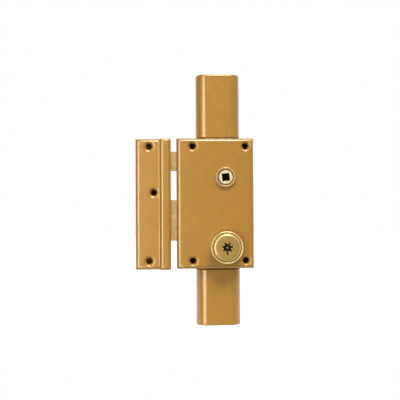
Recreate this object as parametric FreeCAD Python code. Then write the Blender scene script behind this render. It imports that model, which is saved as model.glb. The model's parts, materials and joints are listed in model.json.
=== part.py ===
"""Surface mounted multipoint lock with its strike, millimetres.

The lock is fixed to the room side of a door. X runs right, Z up and Y into the door, so the face that
meets the door is at Y = 0 and the front of the lock looks along -Y. The origin is the middle of the
case's back. At rest the lock is thrown: both bolts stand in the strike and both rods are out.
"""

import FreeCAD
import Part

import math
import os

Vec = FreeCAD.Vector

# Sheet metal case
case_sheet = 1.5
case_bend = 4.0
plate_thick = 2.0
plate_gap = 0.2

# Screws through case and strike
screw_hole = 6.2
dimple_mouth = 10.6
dimple_depth = 2.2
dimple_floor = 0.8
dimple_rim = 0.7
sleeve_wall = 1.4
screw_inset_left = 17.2
screw_inset_right = 9.05
screw_inset_end = 8.6

# Places of the two axes on the case, which set its size
key_inset_right = 30.5
key_from_bottom = 23.4
spindle_above_key = 74.4
spindle_from_top = 42.2
rod_offset = 7.0

# Layers from the base plate to the front
layer_gap = 0.4
rack_thick = 5.2
tail_thick = 5.0
bolt_thick = 10.0
wheel_gap = 1.0
wheel_thick = 4.0
nut_gap = 1.5
nut_thick = 4.0

# Clearances
running = 0.1
sliding = 0.3
press = 0.05

# Spindle hub and its bush
spindle_square = 8.3
square_tilt = 5.5
hub_wall = 0.66
hub_barrel = 7.4
hub_face = 14.8
hub_arm_width = 6.0
hub_arm_clear = 1.7
bush_diameter = 23.2
bush_body = 20.4
bush_height = 3.2
bush_mouth = 17.4
bush_mouth_depth = 2.4
hub_recess = 0.3

# Gears
pinion_teeth = 20
pinion_pressure = 20.0
wheel_teeth = 57
drive_teeth = 12
fine_module = 0.8
fine_pressure = 25.0
pinion_addendum = 1.0
fine_addendum = 0.8
pinion_flank_runs = 2
fine_flank_runs = 1
tooth_thinning = 0.14
strip_clear = 1.4
axle_diameter = 6.0
wheel_hub = 16.0
wheel_web_holes = 6
wheel_web_hole = 6.0
clip_thick = 0.8
clip_width = 2.4

# Deadbolt
deadbolt_height = 44.2
deadbolt_tail_height = 8.8
deadbolt_inside = 12.75
bolt_edge = 0.8
bolt_shoulder = 1.2
shoulder_length = 4.0
joint_overlap = 12.0
rivet_diameter = 3.0
rack_overrun = 1.5
guide_sheet = 1.8
guide_clear = 2.5
rack_guide_clear = 1.5

# Latch
latch_height = 20.2
latch_throw = 13.0
latch_inside = 20.5
latch_bevel = 8.0
latch_run = 9.6
latch_tail_height = 5.4
latch_lug = 6.0
spring_bore = 7.2
spring_drop = 3.0
spring_wire = 0.9
spring_turns = 7
post_clear = 5.5
post_width = 4.0
post_height = 8.0
coil_flat_count = 14

# Rods and their covers
rack_body = 6.0
bar_width = 14.0
bar_thick = 6.0
rod_head_height = 12.0
rod_head_clear = 3.0
cover_sheet = 1.2
cover_side_gap = 1.8
cover_depth = 22.0
cover_bend = 11.0
cover_end_gap = 1.5
upper_run = 16.0
lower_run = 7.1
bar_recess = 0.8
guide_height = 8.0
guide_from_end = 14.0
guide_front = 2.5
guide_play = 0.15
guide_screw_hole = 4.2
guide_screw_head = 8.0
guide_screw_out = 15.0

# Key cylinder
cylinder_diameter = 34.2
cylinder_reach = 16.0
rim_bead = 0.8
groove_width = 0.9
dome_height = 2.0
face_diameter = 22.6
face_thick = 3.0
neck_diameter = 24.0
neck_over = 0.5
nut_wall = 2.5
rotor_boss = 13.3
rotor_body = 18.0
rotor_tail = 6.8
rotor_recess = 0.3
tail_bar_slot = 1.6
key_bore = 7.2
key_pin = 2.2
key_slots = 7
slot_width = 1.9
slot_reach = 5.8
bit_width = 2.2
bit_reach = 7.8
bit_depth = 9.5
slider_gap = 0.15
slider_length = 9.0
slider_sink = 2.7
slider_foot = 1.2
slider_foot_reach = 2.3
rotor_floor = 2.0
pump_wire = 0.7
pump_turns = 3

# Strike on the door frame
strike_gap = 6.25
strike_width = 37.95
strike_top_drop = 0.15
strike_bottom_over = 1.0
strike_raised = 11.5
strike_depth = 28.5
strike_step = 3.5
strike_bend = 3.0
flange_bend = 4.0
strike_play = 0.5
strike_lip = 5.5
strike_plate_end = 11.0
strike_screw_side = 14.7
strike_screw_top = 8.35
strike_screw_bottom = 9.3
strike_middle_shift = 5.0
strike_middle_up = 12.35

# Places worked out from the sizes above
hub_journal = spindle_square / math.sqrt(2) + hub_wall
pinion_radius = (rod_offset + hub_journal + strip_clear) / (1 + 2.5 / pinion_teeth)
pinion_module = 2 * pinion_radius / pinion_teeth
pinion_tip = pinion_radius + pinion_module
pinion_root = 1.25 * pinion_module
wheel_radius = fine_module * wheel_teeth / 2
drive_radius = fine_module * drive_teeth / 2
gear_distance = wheel_radius + drive_radius
bolt_throw = 2 * math.pi * pinion_radius * drive_teeth / wheel_teeth
rack_reach = 1.6 * math.pi * pinion_module

key_inset_left = deadbolt_inside + bolt_throw + 2 * sliding + pinion_tip + rod_offset
half_width = (key_inset_left + key_inset_right) / 2
half_height = (key_from_bottom + spindle_above_key + spindle_from_top) / 2
screw_radius = screw_hole / 2
sleeve_radius = screw_radius + sleeve_wall
key_x = half_width - key_inset_right
key_z = key_from_bottom - half_height
spindle_z = key_z + spindle_above_key
rod_x = key_x - rod_offset
gear_z = key_z + math.sqrt(gear_distance**2 - rod_offset**2)

plate_front = -plate_thick
rack_back = plate_front - layer_gap
rack_front = rack_back - rack_thick
bolt_back = rack_front - layer_gap
bolt_front = bolt_back - bolt_thick
tail_front = bolt_back - tail_thick
wheel_back = bolt_front - wheel_gap
wheel_front = wheel_back - wheel_thick
nut_back = wheel_front - nut_gap
case_inner = nut_back - nut_thick
case_front = case_inner - case_sheet

rack_side = pinion_radius + pinion_root + rack_body
cover_half = rack_side + cover_side_gap + cover_sheet
bar_back = rack_front
bar_front = bar_back - bar_thick
rod_head = half_height + bolt_throw + rod_head_clear
guide_end = rod_head + rod_head_height + guide_height
upper_reach = guide_end + upper_run + guide_from_end
lower_reach = guide_end + lower_run + guide_from_end

deadbolt_top = gear_z + pinion_radius + pinion_root + deadbolt_tail_height
deadbolt_bottom = deadbolt_top - deadbolt_height
deadbolt_rear = deadbolt_inside - half_width

latch_top = half_height - screw_inset_end - sleeve_radius - sliding
latch_bottom = latch_top - latch_height
latch_rear = latch_inside - half_width
arm_end_z = latch_top - latch_tail_height - hub_arm_clear - hub_arm_width / 2
lug_left = key_x + hub_arm_width / 2 + sliding
spring_z = (latch_top + latch_bottom) / 2 - spring_drop
spring_y = (bolt_back + bolt_front) / 2
post_left = latch_rear + latch_throw + post_clear
spring_floor = -half_width + 1.0

cylinder_front = case_front - cylinder_reach
rotor_front = cylinder_front + rotor_recess
rotor_back = nut_back + neck_over
key_floor = rotor_back - rotor_floor
slider_front = rotor_front + slider_sink
slider_back = slider_front + slider_length

strike_right = -half_width - strike_gap
strike_left = strike_right - strike_width
strike_step_x = strike_right - strike_raised
strike_low = strike_depth - strike_step
strike_top = half_height - strike_top_drop
strike_bottom = -half_height - strike_bottom_over

case_screws = {
    "top_left": (screw_inset_left - half_width, half_height - screw_inset_end),
    "top_right": (half_width - screw_inset_right, half_height - screw_inset_end),
    "bottom_left": (screw_inset_left - half_width, screw_inset_end - half_height),
    "bottom_right": (half_width - screw_inset_right, screw_inset_end - half_height),
}
strike_screws = {
    "top": (strike_left + strike_screw_side, strike_top - strike_screw_top),
    "middle": (strike_left + strike_screw_side + strike_middle_shift,
               (strike_top + strike_bottom) / 2 + strike_middle_up),
    "bottom": (strike_left + strike_screw_side, strike_bottom + strike_screw_bottom),
}


def block(x0, x1, y0, y1, z0, z1):
    """A box between two corners."""
    return Part.makeBox(x1 - x0, y1 - y0, z1 - z0, Vec(x0, y0, z0))


def bar_y(x, z, radius, y0, y1):
    """A round bar along Y."""
    return Part.makeCylinder(radius, y1 - y0, Vec(x, y0, z), Vec(0, 1, 0))


def tube_y(x, z, outer, inner, y0, y1):
    """A tube along Y."""
    return bar_y(x, z, outer, y0, y1).cut(bar_y(x, z, inner, y0, y1))


def plate_xz(points, y0, y1):
    """A flat plate cut to an outline of (x, z) points, from y0 to y1."""
    corners = [Vec(x, y0, z) for x, z in points]
    return Part.Face(Part.makePolygon(corners + corners[:1])).extrude(Vec(0, y1 - y0, 0))


def turned(x, z, profile):
    """A turned piece about an axis along Y, from a closed profile of (radius, y) points."""
    corners = [Vec(r, y, 0) for r, y in profile]
    face = Part.Face(Part.makePolygon(corners + corners[:1]))
    solid = face.revolve(Vec(0, 0, 0), Vec(0, 1, 0), 360)
    solid.translate(Vec(x, 0, z))
    return solid


def edges_at(shape, test):
    """The edges whose middle point passes a test."""
    return [e for e in shape.Edges if test(e.CenterOfMass)]


def pressed_box(x0, x1, front, z0, z1, bend):
    """A box with its back at Y = 0 and the four edges of its front face rounded."""
    solid = block(x0, x1, front, 0, z0, z1)
    return solid.makeFillet(bend, edges_at(solid, lambda c: abs(c.y - front) < 1e-6))


def pressed_shell(x0, x1, front, z0, z1, bend, sheet):
    """An open-backed box of bent sheet, as its outer solid and the hollow to cut from it."""
    outer = pressed_box(x0, x1, front, z0, z1, bend)
    hollow = pressed_box(x0 + sheet, x1 - sheet, front + sheet, z0 + sheet, z1 - sheet, bend - sheet)
    return outer, hollow


def add_dimple(shell, x, z, front, sheet):
    """Presses a countersunk screw dimple into a sheet whose outer face is at y = front."""
    mouth = dimple_mouth / 2
    back = front + dimple_depth + dimple_floor
    cup = turned(x, z, [(0, front + sheet / 2), (mouth + sheet / 2, front + sheet / 2),
                        (sleeve_radius, back), (0, back)])
    shell = shell.fuse(cup)
    lip = dimple_rim
    return shell.cut(turned(x, z, [
        (0, front - 1), (mouth + lip, front - 1), (mouth + lip, front), (mouth - lip / 2, front + lip / 2),
        (screw_radius, front + dimple_depth), (screw_radius, back + 1), (0, back + 1)]))


def screw_sleeve(x, z, front):
    """The spacer tube round a screw, from the back plate to the back of its dimple."""
    return tube_y(x, z, sleeve_radius, screw_radius, front + dimple_depth + dimple_floor, plate_front)


def involute_gear(x, z, teeth, module, pressure, addendum, runs, y0, y1, bore, turn):
    """A spur gear about an axis along Y. One tooth points at the angle turn, measured from +X to +Z.
    addendum is a share of the module, and each flank follows the involute in a few straight runs."""
    pitch = module * teeth / 2
    angle = math.radians(pressure)
    base = pitch * math.cos(angle)
    root = pitch - 1.25 * module
    tip = pitch + addendum * module
    low = max(base, root)
    half_tooth = math.pi / (2 * teeth) - tooth_thinning / (2 * pitch)

    def involute(radius):
        slope = math.acos(base / radius)
        return math.tan(slope) - slope

    def at(radius, direction):
        return Vec(x + radius * math.cos(direction), y0, z + radius * math.sin(direction))

    def half_angle(radius):
        return half_tooth + involute(pitch) - involute(radius)

    radii = [low + (tip - low) * run / runs for run in range(runs + 1)]
    corners = []
    for tooth in range(teeth):
        centre = turn + 2 * math.pi * tooth / teeth
        if low > root:
            corners.append(at(root, centre - half_angle(low)))
        corners += [at(r, centre - half_angle(r)) for r in radii]
        corners += [at(r, centre + half_angle(r)) for r in reversed(radii)]
        if low > root:
            corners.append(at(root, centre + half_angle(low)))
    solid = Part.Face(Part.makePolygon(corners + corners[:1])).extrude(Vec(0, y1 - y0, 0))
    return solid.cut(bar_y(x, z, bore, y0, y1))


def rack_teeth(start, end, gap_centre):
    """Outline of a toothed edge as (along, out) points, out measured from the pitch line.
    A gap between teeth is centred on gap_centre."""
    pitch = math.pi * pinion_module
    lean = math.tan(math.radians(pinion_pressure))
    half = pitch / 4 - tooth_thinning / 2
    first = math.ceil((start - gap_centre) / pitch + 0.5)
    last = math.floor((end - gap_centre) / pitch - 0.5)
    points = []
    for number in range(first, last + 1):
        centre = gap_centre + (number - 0.5) * pitch
        points += [(centre - half - pinion_root * lean, -pinion_root),
                   (centre - half + pinion_module * lean, pinion_module),
                   (centre + half - pinion_module * lean, pinion_module),
                   (centre + half + pinion_root * lean, -pinion_root)]
    return points


def skin(sections):
    """A solid that joins the matching corners of closed sections by flat triangles."""
    faces = [Part.Face(Part.makePolygon(ring)) for ring in (sections[0], sections[-1])]
    for here, there in zip(sections, sections[1:]):
        for k in range(len(here) - 1):
            for corners in ([here[k], here[k + 1], there[k + 1]], [here[k], there[k + 1], there[k]]):
                faces.append(Part.Face(Part.makePolygon(corners + corners[:1])))
    shell = Part.makeShell(faces)
    shell.sewShape()
    return Part.makeSolid(shell)


def coil(radius, wire, turns, length):
    """A compression spring of square wire along +Z, from Z = 0 to length, with flats round each turn."""
    steps = turns * coil_flat_count
    half = wire / 2
    sections = []
    for step in range(steps + 1):
        angle = 2 * math.pi * step / coil_flat_count
        rise = half + (length - wire) * step / steps
        sections.append([Vec((radius + out) * math.cos(angle), (radius + out) * math.sin(angle), rise + up)
                         for out, up in ((-half, -half), (half, -half), (half, half), (-half, half), (-half, -half))])
    return skin(sections)


def case_cover():
    """The painted front shell, with its screw dimples, bolt slots and rod notches."""
    outer, hollow = pressed_shell(-half_width, half_width, case_front, -half_height, half_height,
                                  case_bend, case_sheet)
    shell = outer.cut(hollow)
    for x, z in case_screws.values():
        shell = add_dimple(shell, x, z, case_front, case_sheet)
    shell = shell.cut(bar_y(key_x, spindle_z, bush_body / 2 + press, case_front - 1, case_inner + 1))
    shell = shell.cut(bar_y(key_x, key_z, neck_diameter / 2 + press, case_front - 1, case_inner + 1))
    for low, high in ((latch_bottom, latch_top), (deadbolt_bottom, deadbolt_top)):
        shell = shell.cut(block(-half_width - 1, -half_width + case_sheet + 1, bolt_front - sliding,
                                bolt_back + sliding, low - sliding, high + sliding))
    inner = pinion_radius + pinion_root - layer_gap
    notch = rack_front - layer_gap
    shell = shell.cut(block(rod_x + inner, rod_x + rack_side + layer_gap, notch, 1,
                            half_height - case_sheet - 1, half_height + 1))
    return shell.cut(block(rod_x - rack_side - layer_gap, rod_x - inner, notch, 1,
                           -half_height - 1, -half_height + case_sheet + 1))


def base_plate():
    """The flat back plate that carries the works and lies on the door."""
    x = half_width - case_sheet - plate_gap
    z = half_height - case_sheet - plate_gap
    plate = block(-x, x, plate_front, 0, -z, z)
    for cx, cz in case_screws.values():
        plate = plate.cut(bar_y(cx, cz, screw_radius, plate_front - 1, 1))
    plate = plate.cut(bar_y(key_x, spindle_z, hub_journal + running, plate_front - 1, 1))
    plate = plate.cut(bar_y(key_x, key_z, rotor_tail / 2 + running, plate_front - 1, 1))
    return plate.cut(bar_y(rod_x, gear_z, axle_diameter / 3 + press, plate_front - 1, 1))


def spindle_bush():
    """The raised ring in the cover that the spindle hub turns in."""
    ring = bush_diameter / 2
    mouth = bush_mouth / 2
    crown = case_front - bush_height
    bush = turned(key_x, spindle_z, [
        (hub_face / 2 + running, case_inner), (bush_body / 2, case_inner), (bush_body / 2, case_front),
        (ring, case_front), (ring, crown + 1.4), (ring - 1.4, crown),
        (mouth + 0.4, crown), (mouth, crown + 0.4), (mouth, crown + bush_mouth_depth),
        (hub_face / 2 + running, crown + bush_mouth_depth)])
    return bush


def spindle_hub():
    """The follower with its square hole and the arm that draws the latch back."""
    front = case_front - bush_height + hub_recess
    barrel_front = case_inner + sliding
    hub = turned(key_x, spindle_z, [
        (0, -sliding), (hub_journal, -sliding), (hub_journal, bolt_back - sliding),
        (hub_barrel, bolt_back - sliding), (hub_barrel, barrel_front), (hub_face / 2, barrel_front),
        (hub_face / 2, front + 0.5), (hub_face / 2 - 0.5, front), (0, front)])
    half = hub_arm_width / 2
    arm_front = tail_front + sliding
    arm = block(key_x - half, key_x + half, arm_front, bolt_back - sliding, spindle_z, arm_end_z)
    arm = arm.fuse(bar_y(key_x, arm_end_z, half, arm_front, bolt_back - sliding))
    hub = hub.fuse(arm).removeSplitter()
    side = spindle_square / 2
    hole = block(-side, side, front - 1, 1, -side, side)
    hole.rotate(Vec(0, 0, 0), Vec(0, -1, 0), square_tilt)
    hole.translate(Vec(key_x, 0, spindle_z))
    return hub.cut(hole)


def bolt_head(tip, rear, low, high):
    """The bar of a sliding bolt, and the stop shoulder below it inside the case."""
    head = block(tip, rear, bolt_front, bolt_back, low, high)
    shoulder = -half_width + case_sheet + sliding
    return head, block(shoulder, min(shoulder + shoulder_length, rear), bolt_front, bolt_back,
                       low - bolt_shoulder, low + bolt_shoulder)


def rivet_pair(x, z, spacing, y0, y1):
    """Two rivets along Y, side by side in X."""
    radius = rivet_diameter / 2
    return Part.Compound([bar_y(x + side * spacing / 2, z, radius, y0, y1) for side in (-1, 1)])


def rivet_holes(x, z, spacing):
    """The holes for a pair of rivets."""
    radius = rivet_diameter / 2
    return [bar_y(x + side * spacing / 2, z, radius, case_front, 0) for side in (-1, 1)]


def deadbolt():
    """Head, toothed tail and rivets of the deadbolt."""
    tip = -half_width - bolt_throw
    head, shoulder = bolt_head(tip, deadbolt_rear, deadbolt_bottom, deadbolt_top)
    head = head.makeChamfer(bolt_edge, edges_at(head, lambda c: abs(c.x - tip) < 1e-6))
    head = head.fuse(shoulder).removeSplitter()
    tail_low = deadbolt_top - deadbolt_tail_height
    start = deadbolt_rear - joint_overlap
    head = head.cut(block(start, deadbolt_rear + 1, tail_front, bolt_back + 1, tail_low, deadbolt_top))
    pitch_line = gear_z + pinion_radius
    teeth = rack_teeth(rod_x - bolt_throw - rack_reach, rod_x + rack_reach, rod_x)
    end = teeth[-1][0] + rack_overrun
    outline = [(start, deadbolt_top), (start, tail_low)]
    outline += [(along, pitch_line - out) for along, out in teeth]
    outline += [(end, tail_low), (end, deadbolt_top)]
    tail = plate_xz(outline, tail_front, bolt_back)
    rivet_x = deadbolt_rear - joint_overlap / 2
    rivet_z = deadbolt_top - deadbolt_tail_height / 2
    for hole in rivet_holes(rivet_x, rivet_z, joint_overlap / 2):
        head = head.cut(hole)
        tail = tail.cut(hole)
    rivets = rivet_pair(rivet_x, rivet_z, joint_overlap / 2, bolt_front, bolt_back)
    return {"deadbolt_head": head, "deadbolt_rack": tail, "deadbolt_rivets": rivets}


def latch():
    """Head, hooked tail and rivets of the sprung latch."""
    tip = -half_width - latch_throw
    head, shoulder = bolt_head(tip, latch_rear, latch_bottom, latch_top)
    head = head.fuse(shoulder).removeSplitter()
    bevel = ((tip, bolt_back - latch_bevel), (tip + latch_run, bolt_back), (tip, bolt_back))
    corners = [Vec(x, y, latch_bottom) for x, y in bevel + bevel[:1]]
    head = head.cut(Part.Face(Part.makePolygon(corners)).extrude(Vec(0, 0, latch_height)))
    head = head.cut(Part.makeCylinder(spring_bore / 2, latch_rear - spring_floor + 1,
                                      Vec(spring_floor, spring_y, spring_z), Vec(1, 0, 0)))
    strip_low = latch_top - latch_tail_height
    start = latch_rear - joint_overlap
    head = head.cut(block(start, latch_rear + 1, tail_front, bolt_back + 1, strip_low, latch_top))
    lug_low = spindle_z + hub_barrel + 1
    tail = plate_xz([(start, strip_low), (lug_left, strip_low), (lug_left, lug_low),
                     (lug_left + latch_lug, lug_low), (lug_left + latch_lug, latch_top), (start, latch_top)],
                    tail_front, bolt_back)
    rivet_x = latch_rear - joint_overlap / 2
    rivet_z = latch_top - latch_tail_height / 2
    for hole in rivet_holes(rivet_x, rivet_z, joint_overlap / 2):
        head = head.cut(hole)
        tail = tail.cut(hole)
    rivets = rivet_pair(rivet_x, rivet_z, joint_overlap / 2, bolt_front, bolt_back)
    return {"latch_head": head, "latch_tail": tail, "latch_rivets": rivets}


def latch_spring():
    """The spring between the latch and its post, lying along X."""
    length = post_left - spring_floor - running
    spring = coil(spring_bore / 2 - spring_wire / 2 - sliding, spring_wire, spring_turns, length)
    spring.rotate(Vec(0, 0, 0), Vec(0, 1, 0), 90)
    spring.translate(Vec(spring_floor + running / 2, spring_y, spring_z))
    return spring


def spring_post():
    """The block on the base plate that the latch spring pushes against."""
    half = post_height / 2
    right = post_left + post_width
    return block(post_left, right, bolt_front, plate_front, spring_z - half, spring_z + half)


def tail_guide(x0, x1, edge, drop):
    """A bent keeper on the base plate, over the top edge and the front of a bolt's tail."""
    low = edge + sliding
    high = low + guide_sheet
    lip_back = tail_front - sliding
    front = lip_back - guide_sheet
    leg = block(x0, x1, front, plate_front, low, high)
    lip = block(x0, x1, front, lip_back, edge - drop, high)
    return leg.fuse(lip).removeSplitter()


def rod(side, reach):
    """Rack, bar and rivets of one rod. side is 1 for the upper rod and -1 for the lower one."""
    def out(distance):
        return rod_x + side * distance

    start = -rack_reach if side > 0 else rack_reach
    teeth_from = gear_z + start
    teeth_to = gear_z + side * (bolt_throw + rack_reach)
    teeth = rack_teeth(min(teeth_from, teeth_to), max(teeth_from, teeth_to), gear_z)
    if side < 0:
        teeth = [(along, depth) for along, depth in reversed(teeth)]
    body_in = pinion_radius + pinion_root
    foot = teeth[0][0] - side * rack_overrun
    head_low = side * rod_head
    head_high = side * (rod_head + rod_head_height)
    bar_far = -bar_width / 2
    outline = [(out(body_in), foot)]
    outline += [(out(pinion_radius - depth), along) for along, depth in teeth]
    outline += [(out(body_in), head_low), (rod_x + side * bar_far, head_low),
                (rod_x + side * bar_far, head_high), (out(rack_side), head_high), (out(rack_side), foot)]
    rack = plate_xz(outline, rack_front, rack_back)
    end = side * (reach - bar_recess)
    low, high = min(head_low, end), max(head_low, end)
    bar = block(rod_x - bar_width / 2, rod_x + bar_width / 2, bar_front, bar_back, low, high)
    rivet_z = (head_low + head_high) / 2
    for hole in rivet_holes(rod_x, rivet_z, bar_width / 2):
        rack = rack.cut(hole)
        bar = bar.cut(hole)
    return rack, bar, rivet_pair(rod_x, rivet_z, bar_width / 2, bar_front, rack_back)


def channel(depth, half, bend, z0, z1):
    """A bar of the covers' section, rounded at its two front edges."""
    solid = block(rod_x - half, rod_x + half, -depth, 0, min(z0, z1), max(z0, z1))
    corners = edges_at(solid, lambda c: abs(c.y + depth) < 1e-6 and abs(c.x - rod_x) > half / 2)
    return solid.makeFillet(bend, corners)


def rod_cover(side, reach):
    """The painted channel over one rod, open at the back and at its end."""
    near = side * (half_height + cover_end_gap)
    far = side * reach
    outer = channel(cover_depth, cover_half, cover_bend, near, far)
    hollow = channel(cover_depth - cover_sheet, cover_half - cover_sheet, cover_bend - cover_sheet,
                     near - side, far + side)
    return outer.cut(hollow)


def rod_guide(side, reach):
    """The moulded guide that carries a rod's end and holds the cover."""
    far = side * (reach - guide_from_end)
    near = far - side * guide_height
    z0, z1 = min(near, far), max(near, far)
    shape = channel(cover_depth - cover_sheet - guide_play, cover_half - cover_sheet - guide_play,
                    cover_bend - cover_sheet - guide_play, near, far)
    shape = shape.common(block(rod_x - cover_half, rod_x + cover_half, bar_front - guide_front, 0, z0, z1))
    shape = shape.cut(block(rod_x - bar_width / 2 - sliding, rod_x + bar_width / 2 + sliding,
                            bar_front - sliding, bar_back + sliding, z0 - 1, z1 + 1))
    middle = (z0 + z1) / 2
    front = bar_front - guide_front
    sink = (guide_screw_head - guide_screw_hole) / 2
    for way in (-1, 1):
        x = rod_x + way * guide_screw_out
        shape = shape.cut(turned(x, middle, [
            (0, front - 1), (guide_screw_head / 2, front - 1), (guide_screw_head / 2, front + 0.3),
            (guide_screw_hole / 2, front + 0.3 + sink), (guide_screw_hole / 2, 1), (0, 1)]))
    return shape


def drive_gears():
    """The large wheel and the rack pinion that turn together on the fixed axle."""
    to_key = math.atan2(key_z - gear_z, key_x - rod_x)
    wheel = involute_gear(rod_x, gear_z, wheel_teeth, fine_module, fine_pressure, fine_addendum,
                          fine_flank_runs, wheel_front, wheel_back, wheel_hub / 2 + press, to_key)
    ring = (wheel_hub / 2 + wheel_radius) / 2
    for number in range(wheel_web_holes):
        angle = 2 * math.pi * number / wheel_web_holes
        wheel = wheel.cut(bar_y(rod_x + ring * math.cos(angle), gear_z + ring * math.sin(angle),
                                wheel_web_hole / 2, wheel_front, wheel_back))
    bore = axle_diameter / 2 + running
    pinion = involute_gear(rod_x, gear_z, pinion_teeth, pinion_module, pinion_pressure, pinion_addendum,
                           pinion_flank_runs, tail_front, rack_back, bore, 0)
    pinion = pinion.fuse(tube_y(rod_x, gear_z, wheel_hub / 2, bore, wheel_front, tail_front))
    drive = involute_gear(key_x, key_z, drive_teeth, fine_module, fine_pressure, fine_addendum,
                          fine_flank_runs, wheel_front, wheel_back, rotor_tail / 2,
                          to_key + math.pi + math.pi / drive_teeth)
    return {"drive_wheel": wheel, "rack_pinion": pinion.removeSplitter(), "drive_pinion": drive}


def gear_axle():
    """The stepped axle of the gears, with its foot in the base plate and a groove for its clip."""
    radius = axle_diameter / 2
    groove_back = wheel_front - running
    groove_front = groove_back - clip_thick
    end = groove_front - clip_thick
    return turned(rod_x, gear_z, [
        (0, 0), (axle_diameter / 3, 0), (axle_diameter / 3, plate_front), (radius, plate_front),
        (radius, groove_back), (radius - clip_thick, groove_back), (radius - clip_thick, groove_front),
        (radius, groove_front), (radius, end), (0, end)])


def axle_clip():
    """The open spring clip in the axle's groove."""
    inner = axle_diameter / 2 - clip_thick
    outer = inner + clip_width
    back = wheel_front - running - press / 2
    front = back - clip_thick + press
    ring = tube_y(rod_x, gear_z, outer, inner + press, front, back)
    mouth = inner * 0.8
    return ring.cut(block(rod_x - mouth, rod_x + mouth, front - 1, back + 1, gear_z, gear_z + outer))


def cylinder_housing():
    """The turned brass body, with its rim, groove and domed shoulder, and its threaded neck."""
    rim = cylinder_diameter / 2
    neck = neck_diameter / 2
    bore = rotor_body / 2 + running
    opening = rotor_boss / 2 + running
    bead_y = cylinder_front + dome_height + rim_bead
    ledge = rim - 2 * rim_bead - groove_width
    flat = face_diameter / 2
    bead = [(rim - rim_bead + rim_bead * math.cos(math.pi * step / 4),
             bead_y - rim_bead * math.sin(math.pi * step / 4)) for step in range(5)]
    dome = [(flat + (ledge - flat) * math.cos(math.pi * step / 6),
             cylinder_front + dome_height * (1 - math.sin(math.pi * step / 6))) for step in range(4)]
    body = turned(key_x, key_z, [(neck, rotor_back), (neck, case_front), (rim, case_front)] + bead + [
        (ledge, bead_y)] + dome + [
        (opening, cylinder_front), (opening, cylinder_front + face_thick),
        (bore, cylinder_front + face_thick), (bore, rotor_back)])
    half = bit_width / 2
    return body.cut(block(key_x - half, key_x + half, cylinder_front - 1, cylinder_front + face_thick + 1,
                          key_z - bit_reach, key_z))


def cylinder_nut():
    """The hexagon nut that clamps the cylinder in the cover."""
    corner = (neck_diameter + 2 * nut_wall) / math.sqrt(3)
    points = [(key_x + corner * math.cos(math.pi * k / 3), key_z + corner * math.sin(math.pi * k / 3))
              for k in range(6)]
    nut = plate_xz(points, nut_back, case_inner)
    return nut.cut(bar_y(key_x, key_z, neck_diameter / 2 + press, case_inner - 1, nut_back + 1))


def slot_angles():
    """The directions of the slider slots. The place at the bottom is the key bit's."""
    return [-90 + 360 * k / key_slots for k in range(1, key_slots)]


def radial_block(near, far, width, y0, y1, angle):
    """A block that points away from the key axis at an angle in degrees."""
    piece = block(near, far, y0, y1, -width / 2, width / 2)
    piece.rotate(Vec(0, 0, 0), Vec(0, -1, 0), angle)
    piece.translate(Vec(key_x, 0, key_z))
    return piece


def cylinder_rotor():
    """The turning core, with the bore, slots and bit way for a tubular key."""
    inner_front = cylinder_front + face_thick + running
    collar = drive_radius + fine_module
    core = turned(key_x, key_z, [
        (0, rotor_front), (rotor_boss / 2, rotor_front), (rotor_boss / 2, inner_front),
        (rotor_body / 2, inner_front), (rotor_body / 2, rotor_back), (collar, rotor_back),
        (collar, wheel_front), (rotor_tail / 2, wheel_front), (rotor_tail / 2, -sliding), (0, -sliding)])
    core = core.cut(bar_y(key_x, key_z, key_bore / 2, rotor_front - 1, key_floor))
    for angle in slot_angles():
        core = core.cut(radial_block(0, slot_reach, slot_width, rotor_front - 1, key_floor, angle))
    core = core.cut(radial_block(0, bit_reach, bit_width, rotor_front - 1, rotor_front + bit_depth, -90))
    half = tail_bar_slot / 2
    return core.cut(block(key_x - rotor_tail, key_x + rotor_tail, -4 * half, 1, key_z - half, key_z + half))


def key_sliders():
    """The six sliders that a key pushes back, each with a foot for the spring."""
    sliders = {}
    width = slot_width - 2 * slider_gap
    far = slot_reach - slider_gap
    near = key_bore / 2 + slider_gap
    for number, angle in enumerate(slot_angles(), 1):
        blade = radial_block(near, far, width, slider_front, slider_back, angle)
        foot = radial_block(slider_foot_reach, far, width, slider_back - slider_foot, slider_back, angle)
        sliders[f"slider_{number}"] = blade.fuse(foot).removeSplitter()
    return sliders


def slider_spring():
    """The spring under the sliders' feet, round the key pin."""
    length = key_floor - slider_back - running
    radius = key_bore / 2 - pump_wire / 2 - slider_gap
    spring = coil(radius, pump_wire, pump_turns, length)
    spring.rotate(Vec(0, 0, 0), Vec(1, 0, 0), -90)
    spring.translate(Vec(key_x, slider_back + running / 2, key_z))
    return spring


def strike_cover():
    """The painted strike: a low screw flange and a raised box that takes the bolts."""
    low, low_hollow = pressed_shell(strike_left, strike_right - strike_bend, -strike_low,
                                    strike_bottom, strike_top, flange_bend, case_sheet)
    high, high_hollow = pressed_shell(strike_step_x, strike_right, -strike_depth,
                                      strike_bottom, strike_top, strike_bend, case_sheet)
    shell = low.fuse(high).cut(low_hollow).cut(high_hollow)
    for x, z in strike_screws.values():
        shell = add_dimple(shell, x, z, -strike_low, case_sheet)
    for bottom, top in ((latch_bottom, latch_top), (deadbolt_bottom, deadbolt_top)):
        shell = shell.cut(block(strike_right - case_sheet - 1, strike_right + 1, bolt_front - strike_play,
                                bolt_back + strike_play, bottom - strike_play, top + strike_play))
    return shell.removeSplitter()


def strike_plate():
    """The back plate of the strike, with its long edge turned up beside the bolts."""
    x0 = strike_left + case_sheet + plate_gap
    x1 = strike_right - strike_plate_end
    z0 = strike_bottom + case_sheet + plate_gap
    z1 = strike_top - case_sheet - plate_gap
    plate = block(x0, x1, plate_front, 0, z0, z1)
    plate = plate.fuse(block(x1 - case_sheet, x1, plate_front - strike_lip, 0, z0, z1)).removeSplitter()
    for x, z in strike_screws.values():
        plate = plate.cut(bar_y(x, z, screw_radius, plate_front - 1, 1))
    return plate


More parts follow.
